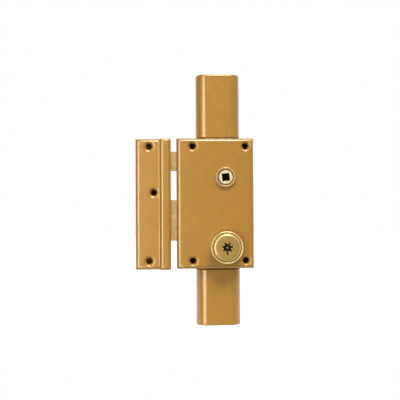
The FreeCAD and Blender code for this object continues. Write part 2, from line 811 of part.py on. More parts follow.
def build():
    """Every piece of the lock, by name."""
    pieces = {
        "case_cover": case_cover(),
        "base_plate": base_plate(),
        "spindle_bush": spindle_bush(),
        "spindle_hub": spindle_hub(),
        "latch_spring": latch_spring(),
        "spring_post": spring_post(),
        "gear_axle": gear_axle(),
        "axle_clip": axle_clip(),
        "cylinder_housing": cylinder_housing(),
        "cylinder_nut": cylinder_nut(),
        "cylinder_rotor": cylinder_rotor(),
        "key_pin": bar_y(key_x, key_z, key_pin / 2, rotor_front + key_pin / 2, key_floor),
        "slider_spring": slider_spring(),
        "strike_cover": strike_cover(),
        "strike_plate": strike_plate(),
        "upper_cover": rod_cover(1, upper_reach),
        "lower_cover": rod_cover(-1, lower_reach),
        "upper_rod_guide": rod_guide(1, upper_reach),
        "lower_rod_guide": rod_guide(-1, lower_reach),
    }
    pieces.update(deadbolt())
    pieces.update(latch())
    pieces.update(drive_gears())
    pieces.update(key_sliders())
    head_clear = latch_rear + latch_throw + guide_clear
    pieces["latch_guide"] = tail_guide(head_clear, head_clear + joint_overlap,
                                       latch_top, latch_tail_height - 1)
    rack_clear = rod_x - pinion_radius + pinion_module + rack_guide_clear
    pieces["deadbolt_guide"] = tail_guide(rack_clear, rack_clear + 2 * joint_overlap - 1,
                                          deadbolt_top, deadbolt_tail_height - 1)
    for place, (x, z) in case_screws.items():
        pieces["screw_sleeve_" + place] = screw_sleeve(x, z, case_front)
    for place, (x, z) in strike_screws.items():
        pieces["strike_sleeve_" + place] = screw_sleeve(x, z, -strike_low)
    for name, side, reach in (("upper", 1, upper_reach), ("lower", -1, lower_reach)):
        rack, bar, rivets = rod(side, reach)
        pieces[name + "_rack"] = rack
        pieces[name + "_bar"] = bar
        pieces[name + "_rivets"] = rivets
    return pieces


os.makedirs("parts", exist_ok=True)
for name, shape in build().items():
    shape.exportStep(os.path.join("parts", name + ".step"))
    print(name, len(shape.Solids), round(shape.Volume, 1), shape.isValid())
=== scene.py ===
"""Looks of the surface mounted multipoint lock: finishes, soft edges, wire springs, light and camera.

Metres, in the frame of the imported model: X right, Z up, Y into the door, the front looks along -Y.
"""

import json
import math

import bpy
from mathutils import Matrix, Vector


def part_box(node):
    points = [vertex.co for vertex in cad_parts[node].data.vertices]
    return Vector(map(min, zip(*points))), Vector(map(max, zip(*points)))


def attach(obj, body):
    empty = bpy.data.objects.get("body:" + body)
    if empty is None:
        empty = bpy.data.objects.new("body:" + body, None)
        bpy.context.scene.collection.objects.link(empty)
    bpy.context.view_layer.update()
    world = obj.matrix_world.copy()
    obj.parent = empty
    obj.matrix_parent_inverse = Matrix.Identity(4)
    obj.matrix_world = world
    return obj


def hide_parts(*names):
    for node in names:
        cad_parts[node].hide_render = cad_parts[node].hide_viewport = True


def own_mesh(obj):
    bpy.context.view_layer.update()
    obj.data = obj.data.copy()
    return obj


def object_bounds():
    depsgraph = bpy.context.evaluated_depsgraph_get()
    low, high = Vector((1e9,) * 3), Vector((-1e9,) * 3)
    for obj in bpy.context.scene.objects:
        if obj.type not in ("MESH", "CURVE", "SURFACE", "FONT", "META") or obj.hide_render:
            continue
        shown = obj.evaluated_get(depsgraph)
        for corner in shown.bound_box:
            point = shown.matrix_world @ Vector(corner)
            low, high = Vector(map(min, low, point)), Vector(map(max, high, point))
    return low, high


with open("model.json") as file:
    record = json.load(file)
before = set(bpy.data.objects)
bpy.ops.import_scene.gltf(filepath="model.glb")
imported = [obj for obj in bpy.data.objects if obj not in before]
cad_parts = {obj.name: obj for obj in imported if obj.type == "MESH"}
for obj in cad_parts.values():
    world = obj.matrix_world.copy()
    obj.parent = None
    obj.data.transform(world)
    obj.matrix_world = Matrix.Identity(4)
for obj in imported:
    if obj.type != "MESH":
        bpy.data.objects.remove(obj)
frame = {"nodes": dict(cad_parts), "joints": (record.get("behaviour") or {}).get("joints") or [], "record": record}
nodes = frame["nodes"]
cad_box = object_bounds()
joints = {joint["name"]: joint for joint in frame["joints"]}

# Colours, as sRGB values from 0 to 255
lacquer_gold = (196, 140, 46)
lacquer_light = (216, 166, 84)
lacquer_deep = (160, 108, 34)
bush_gold = (210, 157, 74)
hub_gold = (255, 236, 186)
hub_pale = (255, 250, 216)
cylinder_gold = (196, 153, 80)
cylinder_pale = (254, 226, 159)
# Painted shade: the dark colours of slots, corners, gaps and holes below stand in for shade
slot_shade_brown = (30, 22, 12)
corner_shade_brown = (66, 40, 12)
gap_shade_brown = (58, 30, 12)
frame_hole_shade_brown = (60, 36, 8)
bolt_sand = (246, 212, 154)
bolt_dark = (218, 174, 116)
nut_gold = (188, 150, 80)
zinc_grey = (186, 190, 190)
steel_grey = (178, 178, 176)
gear_grey = (140, 140, 140)
plastic_black = (34, 33, 32)
dust_grey = (120, 108, 88)
# Painted shade in deep holes and in the key way
hole_shade_black = (22, 7, 3)


def linear(colour):
    """An sRGB colour of 0 to 255 as linear red, green, blue and alpha."""
    def channel(value):
        share = value / 255
        return share / 12.92 if share <= 0.04045 else ((share + 0.055) / 1.055) ** 2.4
    return (*(channel(value) for value in colour), 1.0)


# Node trees

def add(tree, kind, **settings):
    """A new node of a tree, with its settings as attributes."""
    node = tree.nodes.new(kind)
    for name, value in settings.items():
        setattr(node, name, value)
    return node


def join(tree, source, target):
    """Links an output socket to an input socket."""
    tree.links.new(source, target)


def new_group(name, inputs, outputs, kind="ShaderNodeTree"):
    """A node group with its named sockets, as (group, its input node, its output node)."""
    group = bpy.data.node_groups.new(name, kind)
    for title, socket, value in inputs:
        made = group.interface.new_socket(title, in_out="INPUT", socket_type=socket)
        if value is not None:
            made.default_value = value
    for title, socket in outputs:
        group.interface.new_socket(title, in_out="OUTPUT", socket_type=socket)
    return group, add(group, "NodeGroupInput"), add(group, "NodeGroupOutput")


def feed(tree, socket, value):
    """Sets an input socket, or links an output socket to it."""
    if isinstance(value, bpy.types.NodeSocket):
        join(tree, value, socket)
    else:
        socket.default_value = value


def maths(tree, operation, first, second=0.0, clamp=False):
    """A Math node. Its inputs are sockets or numbers."""
    node = add(tree, "ShaderNodeMath", operation=operation, use_clamp=clamp)
    feed(tree, node.inputs[0], first)
    feed(tree, node.inputs[1], second)
    return node.outputs[0]


def mix_colour(tree, share, first, second, blend="MIX"):
    """A colour Mix node. Its inputs are sockets, colours or numbers."""
    node = add(tree, "ShaderNodeMix", data_type="RGBA", blend_type=blend)
    for socket, value in ((node.inputs["Factor"], share), (node.inputs[6], first), (node.inputs[7], second)):
        feed(tree, socket, value)
    return node.outputs[2]


def ramp(tree, source, low, high, start=0.0, end=1.0):
    """A value mapped from low..high to start..end and held there."""
    node = add(tree, "ShaderNodeMapRange", clamp=True)
    for title, value in (("Value", source), ("From Min", low), ("From Max", high),
                         ("To Min", start), ("To Max", end)):
        feed(tree, node.inputs[title], value)
    return node.outputs["Result"]


def noise(tree, coordinates, scale, detail=2.0, roughness=0.5):
    """Noise of a scale, a number or a socket, from 0 to 1."""
    node = add(tree, "ShaderNodeTexNoise")
    for title, value in (("Vector", coordinates), ("Scale", scale), ("Detail", detail), ("Roughness", roughness)):
        feed(tree, node.inputs[title], value)
    return node.outputs["Fac"]


def object_coordinates(tree):
    """The object's own coordinates, in metres."""
    return add(tree, "ShaderNodeTexCoord").outputs["Object"]


# Shared surface effects

def make_flake():
    """Fine metallic flake and the slow unevenness of sprayed lacquer."""
    group, given, made = new_group("Sprayed flake", [
        ("Colour", "NodeSocketColor", (0.5, 0.5, 0.5, 1)), ("Light", "NodeSocketColor", (1, 1, 1, 1)),
        ("Deep", "NodeSocketColor", (0, 0, 0, 1)), ("Flake Scale", "NodeSocketFloat", 2500.0),
        ("Flake", "NodeSocketFloat", 0.3), ("Mottle", "NodeSocketFloat", 0.2), ("Gloss", "NodeSocketFloat", 0.35),
        ("Peel", "NodeSocketFloat", 0.2)],
        [("Colour", "NodeSocketColor"), ("Roughness", "NodeSocketFloat"), ("Height", "NodeSocketFloat")])
    place = object_coordinates(group)
    cells = add(group, "ShaderNodeTexVoronoi", feature="F1")
    join(group, place, cells.inputs["Vector"])
    join(group, given.outputs["Flake Scale"], cells.inputs["Scale"])
    split = add(group, "ShaderNodeSeparateColor")
    join(group, cells.outputs["Color"], split.inputs[0])
    bright = ramp(group, split.outputs[0], 0.72, 1.0)
    dark = ramp(group, split.outputs[1], 0.75, 1.0)
    patch = ramp(group, noise(group, place, 55.0, 3.0), 0.3, 0.7)
    grains = maths(group, "MULTIPLY", bright, given.outputs["Flake"])
    pits = maths(group, "MULTIPLY", dark, given.outputs["Flake"])
    colour = mix_colour(group, grains, given.outputs["Colour"], given.outputs["Light"])
    colour = mix_colour(group, pits, colour, given.outputs["Deep"])
    mottle = maths(group, "MULTIPLY", patch, given.outputs["Mottle"])
    colour = mix_colour(group, mottle, colour, given.outputs["Deep"])
    join(group, colour, made.inputs["Colour"])
    uneven = ramp(group, noise(group, place, 160.0, 2.0), 0.3, 0.7, -0.06, 0.06)
    join(group, maths(group, "ADD", given.outputs["Gloss"], uneven), made.inputs["Roughness"])
    peel = maths(group, "MULTIPLY", noise(group, place, 420.0, 1.0), given.outputs["Peel"])
    join(group, peel, made.inputs["Height"])
    return group


def make_edge():
    """A mask of sharp edges, broken up by noise, for paler edges that are partly wear and partly a painted highlight.
    """
    group, given, made = new_group("Edge mask", [
        ("Width", "NodeSocketFloat", 0.0006), ("Break", "NodeSocketFloat", 0.5), ("Scale", "NodeSocketFloat", 900.0)],
        [("Mask", "NodeSocketFloat")])
    soft = add(group, "ShaderNodeBevel", samples=4)
    join(group, given.outputs["Width"], soft.inputs["Radius"])
    real = add(group, "ShaderNodeNewGeometry")
    dot = add(group, "ShaderNodeVectorMath", operation="DOT_PRODUCT")
    join(group, soft.outputs["Normal"], dot.inputs[0])
    join(group, real.outputs["Normal"], dot.inputs[1])
    turn = ramp(group, dot.outputs["Value"], 0.995, 0.86)
    rough = ramp(group, noise(group, object_coordinates(group), given.outputs["Scale"], 3.0), 0.35, 0.65)
    kept = maths(group, "SUBTRACT", 1.0, maths(group, "MULTIPLY", rough, given.outputs["Break"]))
    join(group, maths(group, "MULTIPLY", turn, kept, clamp=True), made.inputs["Mask"])
    return group


def make_crevice():
    """A mask of corners and holes that light hardly reaches."""
    group, given, made = new_group("Crevice mask", [
        ("Reach", "NodeSocketFloat", 0.002), ("Open", "NodeSocketFloat", 0.8), ("Shut", "NodeSocketFloat", 0.3)],
        [("Mask", "NodeSocketFloat")])
    shade = add(group, "ShaderNodeAmbientOcclusion", samples=8)
    join(group, given.outputs["Reach"], shade.inputs["Distance"])
    mask = ramp(group, shade.outputs["AO"], given.outputs["Open"], given.outputs["Shut"])
    join(group, mask, made.inputs["Mask"])
    return group


def make_turned():
    """Fine rings left by a lathe about an axis along Y through a centre."""
    group, given, made = new_group("Turned rings", [
        ("Centre", "NodeSocketVector", (0, 0, 0)), ("Spacing", "NodeSocketFloat", 0.0005),
        ("Depth", "NodeSocketFloat", 1.0)],
        [("Height", "NodeSocketFloat"), ("Tone", "NodeSocketFloat"), ("Radius", "NodeSocketFloat")])
    place = object_coordinates(group)
    away = add(group, "ShaderNodeVectorMath", operation="SUBTRACT")
    join(group, place, away.inputs[0])
    join(group, given.outputs["Centre"], away.inputs[1])
    parts = add(group, "ShaderNodeSeparateXYZ")
    join(group, away.outputs[0], parts.inputs[0])
    across = maths(group, "POWER", parts.outputs["X"], 2.0)
    upward = maths(group, "POWER", parts.outputs["Z"], 2.0)
    radius = maths(group, "SQRT", maths(group, "ADD", across, upward))
    join(group, radius, made.inputs["Radius"])
    along = maths(group, "ADD", radius, parts.outputs["Y"])
    line = add(group, "ShaderNodeTexNoise", noise_dimensions="1D")
    join(group, maths(group, "DIVIDE", along, given.outputs["Spacing"]), line.inputs["W"])
    line.inputs["Scale"].default_value = 1.0
    line.inputs["Detail"].default_value = 1.0
    join(group, maths(group, "MULTIPLY", line.outputs["Fac"], given.outputs["Depth"]), made.inputs["Height"])
    join(group, ramp(group, line.outputs["Fac"], 0.3, 0.7), made.inputs["Tone"])
    return group


def make_brushed():
    """Drawn or rolled marks that run along one axis."""
    group, given, made = new_group("Drawn marks", [
        ("Stretch", "NodeSocketVector", (40, 900, 900)), ("Depth", "NodeSocketFloat", 0.4)],
        [("Height", "NodeSocketFloat"), ("Tone", "NodeSocketFloat")])
    stretch = add(group, "ShaderNodeVectorMath", operation="MULTIPLY")
    join(group, object_coordinates(group), stretch.inputs[0])
    join(group, given.outputs["Stretch"], stretch.inputs[1])
    marks = noise(group, stretch.outputs[0], 1.0, 4.0, 0.6)
    join(group, maths(group, "MULTIPLY", marks, given.outputs["Depth"]), made.inputs["Height"])
    join(group, ramp(group, marks, 0.3, 0.7), made.inputs["Tone"])
    return group


flake_group = make_flake()
edge_group = make_edge()
crevice_group = make_crevice()
turned_group = make_turned()
brushed_group = make_brushed()


def use(tree, group, **values):
    """Places a shared effect in a material with its own values."""
    node = add(tree, "ShaderNodeGroup", node_tree=group)
    for name, value in values.items():
        node.inputs[name.replace("_", " ")].default_value = value
    return node


def new_material(name, metallic=0.0, coat=0.0, coat_roughness=0.1, specular=0.5):
    """A material with its Principled shader, as (material, tree, shader)."""
    material = bpy.data.materials.new(name)
    material.use_nodes = True
    shader = material.node_tree.nodes["Principled BSDF"]
    shader.inputs["Metallic"].default_value = metallic
    shader.inputs["Coat Weight"].default_value = coat
    shader.inputs["Coat Roughness"].default_value = coat_roughness
    shader.inputs["Specular IOR Level"].default_value = specular
    return material, material.node_tree, shader


def bump(tree, shader, height, distance, rounding=0.0):
    """Turns a height into the shader's normal, over corners that a thick coat rounds by a radius."""
    node = add(tree, "ShaderNodeBump")
    node.inputs["Distance"].default_value = distance
    join(tree, height, node.inputs["Height"])
    if rounding:
        soft = add(tree, "ShaderNodeBevel", samples=16)
        soft.inputs["Radius"].default_value = rounding
        join(tree, soft.outputs["Normal"], node.inputs["Normal"])
        join(tree, soft.outputs["Normal"], shader.inputs["Coat Normal"])
    join(tree, node.outputs["Normal"], shader.inputs["Normal"])


def lacquer(name, colour, light, deep, gloss, coat_gloss, rounding, shade_share):
    """Sprayed gold bronze lacquer with flake, a hard clear coat, slightly paler edges that are partly wear and partly a
    painted highlight, and painted shade in its crevices.
    rounding is the radius by which the coat softens corners, and the last argument the share of painted shade in the
    crevices."""
    material, tree, shader = new_material(name, metallic=0.25, coat=1.0, coat_roughness=coat_gloss)
    shader.inputs["Coat IOR"].default_value = 1.8
    flake = use(tree, flake_group, Colour=linear(colour), Light=linear(light), Deep=linear(deep),
                Flake=0.45, Mottle=0.12, Gloss=gloss, Peel=0.3)
    # Paler edges, partly wear and partly a painted highlight on the rounded edges
    edge = use(tree, edge_group, Width=0.0005, Break=0.2)
    pale = maths(tree, "MULTIPLY", edge.outputs["Mask"], 0.15)
    tone = mix_colour(tree, pale, flake.outputs["Colour"], linear(light))
    # Painted shade: corners, creases and the ground around raised parts are darkened towards a brown by ambient
    # occlusion
    corner_shade = use(tree, crevice_group, Reach=0.005, Open=0.75, Shut=0.3)
    tone = mix_colour(tree, maths(tree, "MULTIPLY", corner_shade.outputs["Mask"], shade_share), tone, linear(corner_shade_brown))
    join(tree, tone, shader.inputs["Base Color"])
    join(tree, flake.outputs["Roughness"], shader.inputs["Roughness"])
    bump(tree, shader, flake.outputs["Height"], 0.00004, rounding)
    return material


def band(tree, value, low, high, soft=0.00015):
    """A mask that is full between two values and fades out beyond them."""
    return maths(tree, "MULTIPLY", ramp(tree, value, low - soft, low), ramp(tree, value, high + soft, high))


def turned_brass(name, colour, pale, crevice_shade, centre, gloss, spacing=0.0005, metallic=0.8, wear_and_sheen=0.9,
                 reach=0.004, open_at=0.85, shut_at=0.35, raised=(), shaded_rings=(), mouth=None):
    """Brass with lathe rings about an axis. Its sharp edges and raised rings are paled, partly wear and partly a
    painted highlight; its crevices, sunken rings and all behind the mouth get painted shade.
    raised holds the (inner, outer) radii of rings that are painted bright, and the sunken rings are given as (inner,
    outer, share).
    Behind the mouth, a place along Y, all is painted shade."""
    material, tree, shader = new_material(name, metallic=metallic)
    rings = use(tree, turned_group, Centre=centre, Spacing=spacing, Depth=1.0)
    edge = use(tree, edge_group, Width=0.0004, Break=0.15)
    # Painted shade: crevices, the sunken rings and all behind the mouth are darkened towards the shade colour
    shaded = use(tree, crevice_group, Reach=reach, Open=open_at, Shut=shut_at).outputs["Mask"]
    tone = mix_colour(tree, maths(tree, "MULTIPLY", rings.outputs["Tone"], 0.15), linear(colour), linear(pale))
    for low, high, share in shaded_rings:
        held = maths(tree, "MULTIPLY", band(tree, rings.outputs["Radius"], low, high), share)
        shaded = maths(tree, "MAXIMUM", shaded, held)
    if mouth is not None:
        parts = add(tree, "ShaderNodeSeparateXYZ")
        join(tree, object_coordinates(tree), parts.inputs[0])
        shaded = maths(tree, "MAXIMUM", shaded, ramp(tree, parts.outputs["Y"], mouth + 0.0004, mouth + 0.0012))
    # Painted highlight, partly wear: sharp edges and the raised rings are paled
    rubbed_and_sheen = edge.outputs["Mask"]
    for low, high in raised:
        rubbed_and_sheen = maths(tree, "MAXIMUM", rubbed_and_sheen, band(tree, rings.outputs["Radius"], low, high))
    bright = maths(tree, "MULTIPLY", rubbed_and_sheen, maths(tree, "SUBTRACT", 1.0, shaded))
    tone = mix_colour(tree, maths(tree, "MULTIPLY", bright, wear_and_sheen), tone, linear(pale))
    tone = mix_colour(tree, maths(tree, "MULTIPLY", shaded, 0.95), tone, linear(crevice_shade))
    join(tree, tone, shader.inputs["Base Color"])
    stain = noise(tree, object_coordinates(tree), 260.0, 3.0)
    join(tree, ramp(tree, stain, 0.3, 0.7, gloss - 0.05, gloss + 0.08), shader.inputs["Roughness"])
    bump(tree, shader, rings.outputs["Height"], 0.000004)
    return material


def drawn_metal(name, colour, pale, gloss, stretch, metallic=1.0, wear_and_sheen=0.5):
    """Plain metal with marks along one axis and bright edges."""
    material, tree, shader = new_material(name, metallic=metallic)
    marks = use(tree, brushed_group, Stretch=stretch, Depth=1.0)
    edge = use(tree, edge_group, Width=0.0005, Break=0.6)
    stain = ramp(tree, noise(tree, object_coordinates(tree), 120.0, 4.0), 0.35, 0.7)
    tone = mix_colour(tree, maths(tree, "MULTIPLY", stain, 0.5), linear(pale), linear(colour))
    tone = mix_colour(tree, maths(tree, "MULTIPLY", marks.outputs["Tone"], 0.4), tone, linear(colour))
    tone = mix_colour(tree, maths(tree, "MULTIPLY", edge.outputs["Mask"], wear_and_sheen), tone, linear(pale))
    join(tree, tone, shader.inputs["Base Color"])
    join(tree, ramp(tree, stain, 0.0, 1.0, gloss, gloss + 0.12), shader.inputs["Roughness"])
    bump(tree, shader, marks.outputs["Height"], 0.00002)
    return material


def cast_bronze(name, colour, dark):
    """Dull sandy cast metal of the bolts, mottled, with fine pits."""
    material, tree, shader = new_material(name, metallic=0.15)
    place = object_coordinates(tree)
    patch = ramp(tree, noise(tree, place, 240.0, 5.0, 0.6), 0.35, 0.68)
    grain = noise(tree, place, 1500.0, 3.0)
    tone = mix_colour(tree, patch, linear(colour), linear(dark))
    edge = use(tree, edge_group, Width=0.0006, Break=0.5)
    tone = mix_colour(tree, maths(tree, "MULTIPLY", edge.outputs["Mask"], 0.5), tone, linear(colour))
    join(tree, tone, shader.inputs["Base Color"])
    join(tree, ramp(tree, grain, 0.3, 0.7, 0.45, 0.62), shader.inputs["Roughness"])
    bump(tree, shader, grain, 0.00006)
    return material


def moulded_plastic(name, colour):
    """Black moulded plastic with a fine grain and a little dust."""
    material, tree, shader = new_material(name, specular=0.4)
    place = object_coordinates(tree)
    dust = ramp(tree, noise(tree, place, 90.0, 5.0), 0.5, 0.85)
    join(tree, mix_colour(tree, maths(tree, "MULTIPLY", dust, 0.25), linear(colour), linear(dust_grey)),
         shader.inputs["Base Color"])
    grain = noise(tree, place, 2200.0, 2.0)
    join(tree, ramp(tree, grain, 0.3, 0.7, 0.42, 0.6), shader.inputs["Roughness"])
    bump(tree, shader, grain, 0.00003)
    return material


spindle_axis = Vector(joints["hub_turn"]["pos_m"])
key_axis = Vector(joints["key_turn"]["pos_m"])
gear_axis = Vector(joints["gear_turn"]["pos_m"])
hub_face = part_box("spindle_hub")[0][1]

# Inner and outer radii on the key cylinder's face. The rim and the dome edge are painted bright, partly wear and partly
# a painted highlight; the groove and the key's mouth get painted shade.
cylinder_rim = (0.0156, 0.0169)
cylinder_groove = (0.0142, 0.0152)
dome_edge = (0.0128, 0.0138)
key_mouth = (0.0, 0.0038)

# The lacquers and brasses below carry painted shade in their crevices, and the brasses painted highlights, partly wear,
# on edges and raised rings
finishes = {
    "gold_lacquer": lacquer("gold_lacquer", lacquer_gold, lacquer_light, lacquer_deep, gloss=0.42,
                            coat_gloss=0.16, rounding=0.0022, shade_share=0.8),
    "bush_lacquer": lacquer("bush_lacquer", bush_gold, hub_gold, lacquer_deep, gloss=0.36,
                            coat_gloss=0.28, rounding=0.0008, shade_share=0.35),
    "hub_brass": turned_brass("hub_brass", hub_gold, hub_pale, slot_shade_brown, spindle_axis, 0.3,
                              metallic=0.25, reach=0.004, open_at=0.6, shut_at=0.1, mouth=hub_face),
    "cylinder_brass": turned_brass("cylinder_brass", cylinder_gold, cylinder_pale, slot_shade_brown, key_axis, 0.33,
                                   metallic=0.5, wear_and_sheen=0.8, reach=0.003, open_at=0.4, shut_at=0.1,
                                   raised=(cylinder_rim, dome_edge), shaded_rings=((*cylinder_groove, 0.1), (*key_mouth, 0.8))),
    "nut_brass": drawn_metal("nut_brass", nut_gold, cylinder_pale, 0.34, (60, 700, 60)),
    "zinc_plate": drawn_metal("zinc_plate", (160, 164, 166), zinc_grey, 0.34, (600, 300, 30)),
    "sleeve_steel": drawn_metal("sleeve_steel", gear_grey, steel_grey, 0.36, (300, 1500, 300)),
    "bright_steel": drawn_metal("bright_steel", steel_grey, (214, 214, 212), 0.25, (200, 900, 200)),
    "bolt_bronze": cast_bronze("bolt_bronze", bolt_sand, bolt_dark),
    "rack_steel": drawn_metal("rack_steel", (150, 152, 150), zinc_grey, 0.33, (600, 300, 40)),
    "gear_steel": turned_brass("gear_steel", gear_grey, steel_grey, (60, 58, 54), gear_axis, 0.36, 0.0006),
    "slider_brass": turned_brass("slider_brass", nut_gold, cylinder_gold, hole_shade_black, key_axis, 0.4, reach=0.008),
    "spring_steel": drawn_metal("spring_steel", (150, 150, 152), (210, 210, 212), 0.22, (900, 900, 900)),
    "guide_plastic": moulded_plastic("guide_plastic", plastic_black),
}


# Geometry trees

def make_soften():
    """Welds a surface and shades it smooth, except along its sharp edges."""
    tree, given, made = new_group("Soften", [
        ("Geometry", "NodeSocketGeometry", None), ("Weld", "NodeSocketFloat", 1e-6),
        ("Sharp", "NodeSocketFloat", 0.5)],
        [("Geometry", "NodeSocketGeometry")], "GeometryNodeTree")
    weld = add(tree, "GeometryNodeMergeByDistance")
    join(tree, given.outputs["Geometry"], weld.inputs["Geometry"])
    join(tree, given.outputs["Weld"], weld.inputs["Distance"])
    angle = add(tree, "GeometryNodeInputMeshEdgeAngle")
    gentle = add(tree, "FunctionNodeCompare", data_type="FLOAT", operation="LESS_THAN")
    join(tree, angle.outputs["Unsigned Angle"], gentle.inputs["A"])
    join(tree, given.outputs["Sharp"], gentle.inputs["B"])
    faces = add(tree, "GeometryNodeSetShadeSmooth", domain="FACE")
    edges = add(tree, "GeometryNodeSetShadeSmooth", domain="EDGE")
    join(tree, weld.outputs["Geometry"], faces.inputs["Geometry"])
    join(tree, faces.outputs["Geometry"], edges.inputs["Geometry"])
    join(tree, gentle.outputs["Result"], edges.inputs["Shade Smooth"])
    join(tree, edges.outputs["Geometry"], made.inputs["Geometry"])
    return tree


soften_tree = make_soften()


def soften(node, radius=0.0, steps=2):
    """Smooth shading and slightly rounded edges on a CAD node, by modifiers alone."""
    piece = nodes[node]
    weld = piece.modifiers.new("soften", "NODES")
    weld.node_group = soften_tree
    if radius:
        flat = piece.modifiers.new("flat faces", "DECIMATE")
        flat.decimate_type = "DISSOLVE"
        flat.angle_limit = math.radians(0.6)
        bevel = piece.modifiers.new("soft edges", "BEVEL")
        bevel.width = radius
        bevel.segments = steps
        bevel.limit_method = "ANGLE"
        bevel.angle_limit = math.radians(33)
        bevel.harden_normals = False
    normals = piece.modifiers.new("flat normals", "WEIGHTED_NORMAL")
    normals.keep_sharp = not radius
    normals.weight = 90


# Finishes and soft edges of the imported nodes

slot_of = {entry["node"]: entry["material_slot"] for entry in frame["record"]["subparts"]}
edge_radius = {
    "case_cover": 0.00015, "strike_cover": 0.00015, "deadbolt_head": 0.0004, "latch_head": 0.0006,
    "spindle_bush": 0.00015, "cylinder_housing": 0.0001, "upper_cover": 0.00015, "lower_cover": 0.00015,
}
for name, piece in nodes.items():
    for slot in piece.material_slots:
        slot.material = finishes[slot_of[name]]
    soften(name, edge_radius.get(name, 0.0))


def make_wire_spring():
    """A compression spring of round wire along +Z with closed ends, turned and moved into place."""
    tree, given, made = new_group("Wire spring", [
        ("Turns", "NodeSocketFloat", 6.0), ("Coil Radius", "NodeSocketFloat", 0.003),
        ("Wire", "NodeSocketFloat", 0.0009), ("Length", "NodeSocketFloat", 0.02),
        ("Place", "NodeSocketVector", (0, 0, 0)),
        ("Turn", "NodeSocketVector", (0, 0, 0)), ("Material", "NodeSocketMaterial", None)],
        [("Geometry", "NodeSocketGeometry")], "GeometryNodeTree")
    turns, wire = given.outputs["Turns"], given.outputs["Wire"]
    line = add(tree, "GeometryNodeCurveSpiral")
    line.inputs["Resolution"].default_value = 24
    line.inputs["Height"].default_value = 0.0
    feed(tree, line.inputs["Rotations"], turns)
    feed(tree, line.inputs["Start Radius"], given.outputs["Coil Radius"])
    feed(tree, line.inputs["End Radius"], given.outputs["Coil Radius"])
    done = add(tree, "GeometryNodeSplineParameter").outputs["Factor"]
    first = maths(tree, "DIVIDE", 1.0, turns)
    last = maths(tree, "SUBTRACT", 1.0, first)
    open_run = maths(tree, "SUBTRACT", given.outputs["Length"], maths(tree, "MULTIPLY", wire, 3.0))
    rise = maths(tree, "ADD", ramp(tree, done, 0.0, first, 0.0, wire), ramp(tree, done, first, last, 0.0, open_run))
    rise = maths(tree, "ADD", rise, ramp(tree, done, last, 1.0, 0.0, wire))
    half = maths(tree, "DIVIDE", wire, 2.0)
    offset = add(tree, "ShaderNodeCombineXYZ")
    feed(tree, offset.inputs["Z"], maths(tree, "ADD", rise, half))
    lifted = add(tree, "GeometryNodeSetPosition")
    feed(tree, lifted.inputs["Geometry"], line.outputs["Curve"])
    feed(tree, lifted.inputs["Offset"], offset.outputs[0])
    section = add(tree, "GeometryNodeCurvePrimitiveCircle")
    section.inputs["Resolution"].default_value = 10
    feed(tree, section.inputs["Radius"], half)
    body = add(tree, "GeometryNodeCurveToMesh")
    body.inputs["Fill Caps"].default_value = True
    feed(tree, body.inputs["Curve"], lifted.outputs["Geometry"])
    feed(tree, body.inputs["Profile Curve"], section.outputs["Curve"])
    placed = add(tree, "GeometryNodeTransform")
    feed(tree, placed.inputs["Geometry"], body.outputs["Mesh"])
    feed(tree, placed.inputs["Translation"], given.outputs["Place"])
    feed(tree, placed.inputs["Rotation"], given.outputs["Turn"])
    real = add(tree, "GeometryNodeRealizeInstances")
    feed(tree, real.inputs["Geometry"], placed.outputs["Geometry"])
    coloured = add(tree, "GeometryNodeSetMaterial")
    feed(tree, coloured.inputs["Geometry"], real.outputs["Geometry"])
    feed(tree, coloured.inputs["Material"], given.outputs["Material"])
    feed(tree, made.inputs["Geometry"], coloured.outputs["Geometry"])
    return tree


spring_tree = make_wire_spring()


def grow(name, tree, **values):
    """The mesh that a Geometry Nodes tree makes from its named inputs, as a finished piece at the origin."""
    seed = bpy.data.objects.new(name + "_seed", bpy.data.meshes.new(name + "_seed"))
    bpy.context.scene.collection.objects.link(seed)
    modifier = seed.modifiers.new(name, "NODES")
    modifier.node_group = tree
    for item in tree.interface.items_tree:
        title = item.name.replace(" ", "_")
        if item.in_out == "INPUT" and title in values:
            modifier[item.identifier] = values[title]
    bpy.context.view_layer.update()
    mesh = bpy.data.meshes.new_from_object(seed.evaluated_get(bpy.context.evaluated_depsgraph_get()))
    bpy.data.objects.remove(seed)
    mesh.name = name
    mesh.shade_smooth()
    piece = bpy.data.objects.new(name, mesh)
    bpy.context.scene.collection.objects.link(piece)
    return piece


def wire_spring(node, name, axis, turns, wire):
    """A round wire spring in the place of a CAD spring. axis is 0 where it lies along X and 1 along Y."""
    low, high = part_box(node)
    middle = (Vector(low) + Vector(high)) / 2
    place = middle.copy()
    place[axis] = low[axis]
    turn = ((0, math.pi / 2, 0), (-math.pi / 2, 0, 0))[axis]
    spring = grow(name, spring_tree, Turns=turns, Coil_Radius=(high[2] - low[2] - wire) / 2, Wire=wire,
                  Length=high[axis] - low[axis], Place=place, Turn=turn, Material=finishes["spring_steel"])
    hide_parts(node)
    return spring, low, high


latch_coil, low, high = wire_spring("latch_spring", "latch_coil", 0, 11.0, 0.0009)
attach(latch_coil, "lock_case")
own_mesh(latch_coil)

key_coil, low, high = wire_spring("slider_spring", "key_coil", 1, 5.0, 0.0007)
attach(key_coil, "key_rotor")
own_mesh(key_coil)


# Painted shade: dark glowing sheets stand this far behind the back plates, in the holes and gaps
shade_sheet_depth = 0.0006
spindle_opening = 0.0065
gap_overlap = 0.0015
gap_depth = 0.012
gap_side = 0.001


